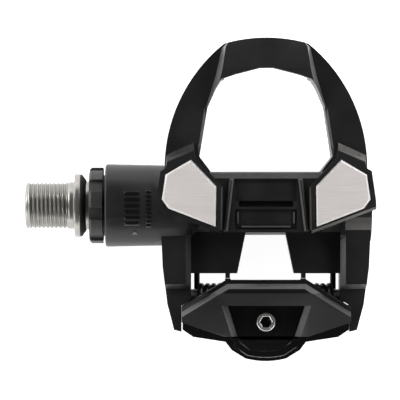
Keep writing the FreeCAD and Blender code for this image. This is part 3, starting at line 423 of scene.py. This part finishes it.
# The rounded edge is in mm, and the facet rule picks each face's finish from the looks
def dress(nodeName, pieceName, looks, edge, segments=2, facetRule=None):
    mesh = dressedMesh(nodeName, pieceName)
    for look in looks:
        mesh.materials.append(finishes[look])
    if facetRule:
        for polygon in mesh.polygons:
            polygon.material_index = facetRule(polygon)
    smoothFaces(mesh, dressSet["sharpAngle"])
    piece = link(pieceName, mesh)
    if edge:
        bevel = piece.modifiers.new("roundedEdges", "BEVEL")
        bevel.width = edge * mm
        bevel.segments = segments
        bevel.limit_method = "ANGLE"
        bevel.angle_limit = math.radians(dressSet["roundAngle"])
        bevel.use_clamp_overlap = True
        bevel.harden_normals = True
    settle(piece, nodeName)


# Pedal body: facets are flats whose normals lie between two slopes, clear of the barrel; they take
# a lighter colour that is painted sheen
pedalBodySet = {
    "edge": 0.22, "facetLow": 0.12, "facetHigh": 0.93, "topOnly": 2.0 * mm,
    "barrelEnd": 36.0 * mm, "leastFacet": 0.6 * mm * mm,
    "lineTop": 10.0 * mm, "lineSlack": 0.03 * mm, "lineBack": -6.7 * mm, "lineFront": -1.8 * mm,
}


# The sloped flats and the raised lines of the bridge's blank plaque take the lighter finish, a
# painted highlight where they catch the light
def bodyPaintedSheenRule(polygon):
    given = pedalBodySet
    place = polygon.center
    sloped = given["facetLow"] < polygon.normal.z < given["facetHigh"] \
        and place.z > given["topOnly"] and polygon.area > given["leastFacet"]
    raisedLine = polygon.normal.z > given["facetHigh"] \
        and abs(place.z - given["lineTop"]) < given["lineSlack"] \
        and given["lineBack"] < place.y < given["lineFront"]
    return 1 if place.x > given["barrelEnd"] and (sloped or raisedLine) else 0


dress("pedal_body", "pedalBody", ["bodyPlastic", "bodyFacetPaintedSheen"], pedalBodySet["edge"],
      facetRule=bodyPaintedSheenRule)
print("pedal body dressed")

# Steel platform plates with a bright bevelled rim
plateSet = {"edge": 0.12, "rimLow": 0.3, "rimHigh": 0.95}


def plateRimRule(polygon):
    return 1 if plateSet["rimLow"] < polygon.normal.z < plateSet["rimHigh"] else 0


for side in ("inboard", "outboard"):
    dress("platform_plate_" + side, "plate" + side.capitalize(), ["plateSteel", "plateRim"],
          plateSet["edge"], facetRule=plateRimRule)

# Rear clip
clipSet = {"edge": 0.3, "segments": 3, "tailStart": -40.5 * mm, "facetLow": 0.3,
           "facetHigh": 0.8, "facetFloor": 8.5 * mm, "leastFacet": 1.5 * mm * mm}


# The tail is glossy, and the bevels of the shell and its window are painted lighter as painted
# sheen, with rubbed patches of wear on top
def clipGlossAndSheenRule(polygon):
    given = clipSet
    if polygon.center.y < given["tailStart"]:
        return 1
    bevelled = given["facetLow"] < polygon.normal.z < given["facetHigh"] \
        and polygon.center.z > given["facetFloor"] and polygon.area > given["leastFacet"]
    return 2 if bevelled else 0


dress("rear_clip", "rearClip", ["clipPlastic", "glossPlastic", "clipFacetPaintedSheen"],
      clipSet["edge"], clipSet["segments"], clipGlossAndSheenRule)
print("plates and clip dressed")

# Small pieces: (node, piece, finishes, rounded edge in mm)
smallPieces = [
    ("bearing_lockring", "lockring", ["ringPlastic"], 0.15),
    ("spindle_dust_seal", "dustSeal", ["sealRubber"], 0.1),
    ("inboard_lip_seal", "lipSeal", ["sealRubber"], 0.08),
    ("needle_bearing_sleeve", "needleSleeve", ["bearingSteel"], 0.1),
    ("needle_cage", "needleCage", ["zincSteel"], 0.0),
    ("ball_bearing_outer_ring", "ballOuterRing", ["bearingSteel"], 0.1),
    ("ball_bearing_inner_ring", "ballInnerRing", ["bearingSteel"], 0.1),
    ("ball_cage", "ballCage", ["zincSteel"], 0.0),
    ("bearing_circlip", "circlip", ["springSteel"], 0.08),
    ("spindle_end_washer", "endWasher", ["zincSteel"], 0.08),
    ("spindle_end_nut", "endNut", ["zincSteel"], 0.15),
    ("end_cap", "endCap", ["bodyPlastic"], 0.2),
    ("end_cap_o_ring", "endCapRing", ["sealRubber"], 0.0),
    ("plate_screws", "plateScrews", ["screwSteel"], 0.08),
    ("clip_pivot_pin", "pivotPin", ["zincSteel"], 0.2),
    ("clip_bushings", "clipBushings", ["bronze"], 0.1),
    ("tension_nut_plate", "nutPlate", ["zincSteel"], 0.15),
]
for nodeName, pieceName, looks, edge in smallPieces:
    dress(nodeName, pieceName, looks, edge)
print("small pieces dressed:", len(smallPieces))

# Tension screw: a bright rounded ring about a hex socket painted dark as painted shade, whose
# faces are all small
screwSet = {"edge": 0.42, "socketReach": 1.76 * mm, "socketArea": 9 * mm * mm}
screwMiddle = Vector(boxMiddle("tension_screw"))


def socketShadeRule(polygon):
    reach = (polygon.center - screwMiddle).xy.length
    inside = reach < screwSet["socketReach"] and polygon.area < screwSet["socketArea"]
    return 1 if inside and polygon.center.z > screwMiddle.z else 0


dress("tension_screw", "tensionScrew", ["screwSteel", "socketPaintedShade"], screwSet["edge"],
      facetRule=socketShadeRule)
print("tension screw dressed")

# Spindle: one closed surface of rows turned round the X axis, with a real helical thread.
# Sizes are in mm from the flange's inboard face. A rounding is (step along, step in).
spindleSet = {
    "columns": 96, "sharpAngle": 32,
    "pitch": 1.27, "threadDepth": 0.62, "threadRadius": 7.14, "threadStart": -14.5,
    "threadEnd": -1.5, "rowStep": 0.106, "fade": 1.0, "flankSlope": 1.35, "crestFlat": 0.17,
    "socketFlats": 8.0, "socketDepth": 10.0, "mouthDepth": 0.5, "mouthRadius": 5.0,
    "endFace": 5.9, "endRound": (0.15, 6.35), "leadIn": 6.95, "runOut": 0.2, "fillet": 0.25,
    "flange": 9.6, "flangeWidth": 1.8, "flangeRound": [(0.0, 0.3), (0.12, 0.08), (0.35, 0.0)],
    "neck": 7.3, "neckEnd": 13.0, "journal": 6.0, "journalEnd": 33.0, "shaft": 5.2,
    "shoulder": 0.3, "tail": 4.0, "tailStart": 77.0, "tailEnd": 82.0,
    "stud": 3.0, "studChamfer": 0.4,
}


def threadRadius(along, share):
    given = spindleSet
    phase = (along / given["pitch"] - share) % 1.0
    flank = given["flankSlope"] * (1 - abs(2 * phase - 1)) - given["crestFlat"]
    cut = min(1.0, max(0.0, flank))
    ends = min(1.0, (along - given["threadStart"]) / given["fade"],
               (given["threadEnd"] - along) / given["fade"])
    return given["threadRadius"] - given["threadDepth"] * cut * max(0.0, ends)


def hexRadius(share):
    side = 60   # degrees that one side of a hexagon spans
    turn = (share * 360 + side / 2) % side - side / 2
    return spindleSet["socketFlats"] / 2 / math.cos(math.radians(turn))


# Rows of (place along, radius), from the socket's floor over the outside to the stud's end
def spindleRows():
    given = spindleSet
    low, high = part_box("spindle")
    lowX = low.x / mm
    highX = high.x / mm
    bottom = lowX + given["socketDepth"]
    endStep, endRadius = given["endRound"]
    rows = [(bottom, hexRadius), (lowX + given["mouthDepth"], hexRadius),
            (lowX, given["mouthRadius"]), (lowX, given["endFace"]),
            (lowX + endStep, endRadius), (given["threadStart"], given["leadIn"])]
    steps = round((given["threadEnd"] - given["threadStart"]) / given["rowStep"])
    for step in range(steps + 1):
        along = given["threadStart"] + step * given["rowStep"]
        rows.append((along, lambda share, at=along: threadRadius(at, share)))
    land = given["threadRadius"]
    flange = given["flange"]
    width = given["flangeWidth"]
    rows += [(given["threadEnd"] + given["runOut"], land), (-given["fillet"], land),
             (0.0, land + given["fillet"])]
    rows += [(step, flange - drop) for step, drop in given["flangeRound"]]
    rows += [(width - step, flange - drop) for step, drop in reversed(given["flangeRound"])]
    rows.append((width, given["neck"]))
    shoulder = given["shoulder"]
    for name, after in (("neck", "journal"), ("journal", "shaft")):
        end = given[name + "End"]
        rows += [(end - shoulder, given[name]), (end, given[name] - shoulder),
                 (end, given[after])]
    rows += [(given["tailStart"], given["shaft"]), (given["tailStart"], given["tail"]),
             (given["tailEnd"], given["tail"]), (given["tailEnd"], given["stud"]),
             (highX - given["studChamfer"], given["stud"]),
             (highX, given["stud"] - given["studChamfer"])]
    return bottom, rows, highX


def makeSpindle():
    columns = spindleSet["columns"]
    bottom, rows, highX = spindleRows()
    work = bmesh.new()
    first = work.verts.new((bottom * mm, 0, 0))
    rings = []
    for along, radius in rows:
        ringVerts = []
        for column in range(columns):
            share = column / columns
            reach = (radius(share) if callable(radius) else radius) * mm
            turn = share * math.tau
            ringVerts.append(work.verts.new((along * mm, reach * math.cos(turn),
                                             reach * math.sin(turn))))
        rings.append(ringVerts)
    last = work.verts.new((highX * mm, 0, 0))
    for column in range(columns):
        after = (column + 1) % columns
        work.faces.new((first, rings[0][column], rings[0][after]))
        for near, far in zip(rings, rings[1:]):
            work.faces.new((near[column], far[column], far[after], near[after]))
        work.faces.new((last, rings[-1][after], rings[-1][column]))
    bmesh.ops.recalc_face_normals(work, faces=work.faces)
    mesh = meshFrom(work, "spindleTurned")
    mesh.materials.append(finishes["spindleSteel"])
    smoothFaces(mesh, spindleSet["sharpAngle"])
    settle(link("spindleTurned", mesh), "spindle")


makeSpindle()
print("spindle turned and threaded")


# Geometry Nodes: a tree with named inputs, run once and turned into a plain mesh
def newTree(name, inputs):
    tree = bpy.data.node_groups.new(name, "GeometryNodeTree")
    tree.interface.new_socket("Geometry", in_out="INPUT", socket_type="NodeSocketGeometry")
    for socketName, kind, value in inputs:
        socket = tree.interface.new_socket(socketName, in_out="INPUT", socket_type=kind)
        if value is not None:
            socket.default_value = value
    tree.interface.new_socket("Geometry", in_out="OUTPUT", socket_type="NodeSocketGeometry")
    return tree, tree.nodes.new("NodeGroupInput"), tree.nodes.new("NodeGroupOutput")


def closeTree(tree, geometry, materialSocket, result):
    real = tree.nodes.new("GeometryNodeRealizeInstances")
    paint = tree.nodes.new("GeometryNodeSetMaterial")
    tree.links.new(geometry, real.inputs["Geometry"])
    tree.links.new(real.outputs["Geometry"], paint.inputs["Geometry"])
    tree.links.new(materialSocket, paint.inputs["Material"])
    tree.links.new(paint.outputs["Geometry"], result.inputs["Geometry"])


# The given shape stands at each point, turned by the rotation if there is one
def copiesOnPoints(tree, given, points, rotation=None):
    copies = tree.nodes.new("GeometryNodeInstanceOnPoints")
    tree.links.new(points, copies.inputs["Points"])
    tree.links.new(given.outputs["Geometry"], copies.inputs["Instance"])
    if rotation:
        tree.links.new(rotation, copies.inputs["Rotation"])
    return copies.outputs["Instances"]


grownSharpAngle = 35


def grow(pieceName, base, tree, values):
    modifier = base.modifiers.new("grow", "NODES")
    modifier.node_group = tree
    sockets = {item.name: item.identifier for item in tree.interface.items_tree
               if item.in_out == "INPUT"}
    for socketName, value in values.items():
        modifier[sockets[socketName]] = value
    bpy.context.view_layer.update()
    shown = base.evaluated_get(bpy.context.evaluated_depsgraph_get())
    mesh = bpy.data.meshes.new_from_object(shown)
    mesh.name = pieceName
    base.modifiers.remove(modifier)
    bpy.data.objects.remove(base)
    smoothFaces(mesh, grownSharpAngle)
    return link(pieceName, mesh)


# A round wire swept along the base curve
def wireTree():
    tree, given, result = newTree("wireAlongPath", [
        ("Wire Radius", numberSocket, 0.001), ("Sides", "NodeSocketInt", 16),
        ("Finish", "NodeSocketMaterial", None)])
    circleNode = tree.nodes.new("GeometryNodeCurvePrimitiveCircle")
    tree.links.new(given.outputs["Wire Radius"], circleNode.inputs["Radius"])
    tree.links.new(given.outputs["Sides"], circleNode.inputs["Resolution"])
    swept = tree.nodes.new("GeometryNodeCurveToMesh")
    swept.inputs["Fill Caps"].default_value = True
    tree.links.new(given.outputs["Geometry"], swept.inputs["Curve"])
    tree.links.new(circleNode.outputs["Curve"], swept.inputs["Profile Curve"])
    closeTree(tree, swept.outputs["Mesh"], given.outputs["Finish"], result)
    return tree


# Copies of one solid set round the X axis at an even pitch
def ringTree():
    tree, given, result = newTree("copiesRoundAxis", [
        ("Count", "NodeSocketInt", 8), ("Pitch Radius", numberSocket, 0.006),
        ("Along", numberSocket, 0.0), ("Finish", "NodeSocketMaterial", None)])
    circleNode = tree.nodes.new("GeometryNodeMeshCircle")
    tree.links.new(given.outputs["Count"], circleNode.inputs["Vertices"])
    tree.links.new(given.outputs["Pitch Radius"], circleNode.inputs["Radius"])
    turned = tree.nodes.new("GeometryNodeTransform")
    turned.inputs["Rotation"].default_value = (math.pi / 2, 0, math.pi / 2)
    tree.links.new(circleNode.outputs["Mesh"], turned.inputs["Geometry"])
    place = tree.nodes.new("ShaderNodeCombineXYZ")
    tree.links.new(given.outputs["Along"], place.inputs["X"])
    tree.links.new(place.outputs["Vector"], turned.inputs["Translation"])
    copies = copiesOnPoints(tree, given, turned.outputs["Geometry"])
    closeTree(tree, copies, given.outputs["Finish"], result)
    return tree


# Copies set along an arc of a cylinder about the X axis, each turned to stand on its surface
def arcTree():
    tree, given, result = newTree("copiesOnBarrel", [
        ("Count", "NodeSocketInt", 4), ("First Angle", numberSocket, 0.0),
        ("Step Angle", numberSocket, 0.1), ("Radius", numberSocket, 0.01),
        ("Along", numberSocket, 0.0), ("Finish", "NodeSocketMaterial", None)])
    index = tree.nodes.new("GeometryNodeInputIndex").outputs["Index"]
    turn = mathNode(tree, "ADD", given.outputs["First Angle"],
                    mathNode(tree, "MULTIPLY", index, given.outputs["Step Angle"]))
    place = tree.nodes.new("ShaderNodeCombineXYZ")
    tree.links.new(given.outputs["Along"], place.inputs["X"])
    for operation, axis in (("SINE", "Y"), ("COSINE", "Z")):
        reach = mathNode(tree, "MULTIPLY", given.outputs["Radius"],
                         mathNode(tree, operation, turn))
        tree.links.new(reach, place.inputs[axis])
    upright = tree.nodes.new("ShaderNodeCombineXYZ")
    tree.links.new(mathNode(tree, "MULTIPLY", turn, -1.0), upright.inputs["X"])
    points = tree.nodes.new("GeometryNodePoints")
    tree.links.new(given.outputs["Count"], points.inputs["Count"])
    tree.links.new(place.outputs["Vector"], points.inputs["Position"])
    copies = copiesOnPoints(tree, given, points.outputs["Points"], upright.outputs["Vector"])
    closeTree(tree, copies, given.outputs["Finish"], result)
    return tree


wireAlongPath = wireTree()
copiesRoundAxis = ringTree()
copiesOnBarrel = arcTree()
print("geometry trees made")

# Torsion springs: legs and coil as one wire, sizes in mm
springSet = {"wire": 0.9, "coil": 3.0, "turns": 4, "pitch": 1.86, "start": 13.4, "sides": 18,
             "frontLeg": 9.0, "rearLeg": 8.6, "stepsPerTurn": 36}


def springPoints(inner, outer, pinY, pinZ):
    given = springSet
    coil = given["coil"] * mm
    points = [(inner, pinY - given["rearLeg"] * mm, pinZ - coil)]
    steps = given["turns"] * given["stepsPerTurn"]
    for step in range(steps + 1):
        turn = step / given["stepsPerTurn"] * math.tau
        along = inner + (outer - inner) * step / steps
        points.append((along, pinY + coil * math.sin(turn), pinZ - coil * math.cos(turn)))
    points.append((outer, pinY + given["frontLeg"] * mm, pinZ - coil))
    return points


def makeSpring(side, sign):
    given = springSet
    nodeName = "torsion_spring_" + side.lower()
    wire = given["wire"] * mm
    centreX, pinY, pinZ = boxMiddle("clip_pivot_pin")
    inner = centreX + sign * given["start"] * mm
    outer = inner + sign * given["turns"] * given["pitch"] * mm
    points = springPoints(inner, outer, pinY, pinZ)
    curve = bpy.data.curves.new("springPath" + side, "CURVE")
    curve.dimensions = "3D"
    spline = curve.splines.new("POLY")
    spline.points.add(len(points) - 1)
    for point, place in zip(spline.points, points):
        point.co = (*place, 1)
    spring = grow("torsionSpring" + side, link("springPath" + side, curve), wireAlongPath,
                  {"Wire Radius": wire, "Sides": given["sides"],
                   "Finish": finishes["springSteel"]})
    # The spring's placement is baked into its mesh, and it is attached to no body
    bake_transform(spring)
    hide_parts(nodeName)


makeSpring("Inboard", -1)
makeSpring("Outboard", 1)
print("springs wound")

# Balls and needles, sizes in mm
rollingSet = {
    "needle": {"radius": 0.97, "count": 14, "pitch": 7.0, "sides": 20, "dome": 0.35,
               "domeSteps": 3},
    "ball": {"radius": 1.0, "count": 9, "pitch": 6.0, "subdivisions": 3},
}
sameEnd = 1e-9   # an edge's corners are this near along X if it lies in a needle's end


def needleMesh():
    given = rollingSet["needle"]
    low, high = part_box("needle_rollers")
    work = bmesh.new()
    bmesh.ops.create_cone(work, cap_ends=True, segments=given["sides"], depth=high.x - low.x,
                          radius1=given["radius"] * mm, radius2=given["radius"] * mm,
                          matrix=Matrix.Rotation(math.pi / 2, 4, "Y"))
    rims = [edge for edge in work.edges
            if abs(edge.verts[0].co.x - edge.verts[1].co.x) < sameEnd]
    bmesh.ops.bevel(work, geom=rims, offset=given["dome"] * mm, segments=given["domeSteps"],
                    affect="EDGES", profile=0.5)
    return meshFrom(work, "needleShape")


def ballMesh():
    given = rollingSet["ball"]
    work = bmesh.new()
    bmesh.ops.create_icosphere(work, subdivisions=given["subdivisions"],
                               radius=given["radius"] * mm)
    return meshFrom(work, "ballShape")


for kind, nodeName, shape in (("needle", "needle_rollers", needleMesh()),
                              ("ball", "bearing_balls", ballMesh())):
    given = rollingSet[kind]
    group = grow(kind + "Set", link(kind + "Shape", shape), copiesRoundAxis,
                 {"Count": given["count"], "Pitch Radius": given["pitch"] * mm,
                  "Along": boxMiddle(nodeName)[0], "Finish": finishes["bearingSteel"]})
    settle(group, nodeName)
print("balls and needles placed")

# Raised glossy marks on the barrel: plain bars and one small arrow, sizes in mm and degrees
markSet = {
    "rise": 0.22, "thickness": 0.7, "round": 0.12, "roundSteps": 2,
    "taper": 0.2,   # the barrel is this much thinner here than at its widest
    "rows": [
        # piece, sides, size along and across, count, first angle, step angle, place along
        ("LongBars", 4, (4.4, 1.15), 6, -26.0, 8.6, 17.6),
        ("ShortBars", 4, (1.5, 0.75), 9, -30.0, 6.2, 22.6),
        ("Arrow", 3, (2.2, 2.2), 1, -42.0, 0.0, 18.4),
    ],
}


# A bar has four sides and an arrow three, each side 1 mm long before it is scaled
def markMesh(name, sides, size):
    work = bmesh.new()
    reach = math.sqrt(0.5) if sides == 4 else 1 / math.sqrt(3)
    squareOn = math.pi / 4 if sides == 4 else 0.0
    bmesh.ops.create_cone(work, cap_ends=True, segments=sides, depth=markSet["thickness"] * mm,
                          radius1=reach * mm, radius2=reach * mm,
                          matrix=Matrix.Rotation(squareOn, 4, "Z"))
    bmesh.ops.scale(work, vec=(*size, 1.0), verts=work.verts)
    bmesh.ops.bevel(work, geom=list(work.edges), offset=markSet["round"] * mm,
                    segments=markSet["roundSteps"], affect="EDGES", profile=0.5)
    return meshFrom(work, name)


widest = -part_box("pedal_body")[0].z   # the barrel's round side is the body's lowest point
markRadius = widest + (markSet["rise"] - markSet["thickness"] / 2 - markSet["taper"]) * mm
for name, sides, size, count, first, step, along in markSet["rows"]:
    base = link("mark" + name, markMesh("mark" + name, sides, size))
    marks = grow("barrelMark" + name, base, copiesOnBarrel,
                 {"Count": count, "First Angle": math.radians(first),
                  "Step Angle": math.radians(step), "Radius": markRadius,
                  "Along": along * mm, "Finish": finishes["glossPlastic"]})
    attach(marks, "pedal_body")
print("barrel marks set:", len(markSet["rows"]))

# Floor and light: a bright band all round at low height, with a dark ceiling above it.
# The band and the ceiling are the sky's strengths, and their limits are heights in it, 0 to 1.
studioSet = {
    "floorSize": 4.0, "floorGap": 0.3 * mm, "paper": 0.93, "paperRoughness": 0.9, "glow": 0.86,
    "band": 2.1, "ceiling": 0.05, "bandEnd": 0.16, "ceilingStart": 0.52,
    "boxSize": (0.34, 0.12),
    "boxes": [
        # turn and height in degrees, distance in metres, power in watts
        (35, 28, 0.5, 1.1),
        (150, 24, 0.5, 1.1),
        (215, 32, 0.5, 0.6),
        (320, 22, 0.5, 0.5),
    ],
}
white = (1, 1, 1, 1)


def makeFloor():
    given = studioSet
    work = bmesh.new()
    bmesh.ops.create_grid(work, x_segments=1, y_segments=1, size=given["floorSize"] / 2)
    mesh = meshFrom(work, "studioFloor")
    for vertex in mesh.vertices:
        vertex.co.z = lowCorner.z - given["floorGap"]
    material = bpy.data.materials.new("studioPaper")
    material.use_nodes = True
    shader = material.node_tree.nodes["Principled BSDF"]
    shader.inputs["Base Color"].default_value = (given["paper"], given["paper"], given["paper"], 1)
    shader.inputs["Roughness"].default_value = given["paperRoughness"]
    shader.inputs["Emission Color"].default_value = white
    shader.inputs["Emission Strength"].default_value = given["glow"]
    mesh.materials.append(material)
    link("studioFloor", mesh)


def makeWorld():
    given = studioSet
    world = bpy.data.worlds.new("studioWorld")
    scene.world = world
    world.use_nodes = True
    tree = world.node_tree
    place = tree.nodes.new("ShaderNodeTexCoord")
    parts = tree.nodes.new("ShaderNodeSeparateXYZ")
    ramp = tree.nodes.new("ShaderNodeMapRange")
    ramp.interpolation_type = "SMOOTHSTEP"
    ramp.inputs["From Min"].default_value = given["bandEnd"]
    ramp.inputs["From Max"].default_value = given["ceilingStart"]
    ramp.inputs["To Min"].default_value = given["band"]
    ramp.inputs["To Max"].default_value = given["ceiling"]
    background = tree.nodes["Background"]
    background.inputs["Color"].default_value = white
    tree.links.new(place.outputs["Generated"], parts.inputs["Vector"])
    tree.links.new(parts.outputs["Z"], ramp.inputs["Value"])
    tree.links.new(ramp.outputs["Result"], background.inputs["Strength"])


def makeSoftbox(name, turn, height, distance, power):
    turn = math.radians(turn)
    height = math.radians(height)
    level = math.cos(height) * distance
    place = middle + Vector((level * math.cos(turn), level * math.sin(turn),
                             math.sin(height) * distance))
    light = bpy.data.lights.new(name, "AREA")
    light.shape = "RECTANGLE"
    light.size, light.size_y = studioSet["boxSize"]
    light.energy = power
    holder = link(name, light)
    holder.location = place
    holder.rotation_euler = (middle - place).to_track_quat("-Z", "Y").to_euler()


makeFloor()
makeWorld()
for index, row in enumerate(studioSet["boxes"]):
    makeSoftbox("softbox" + str(index), *row)
print("studio set")
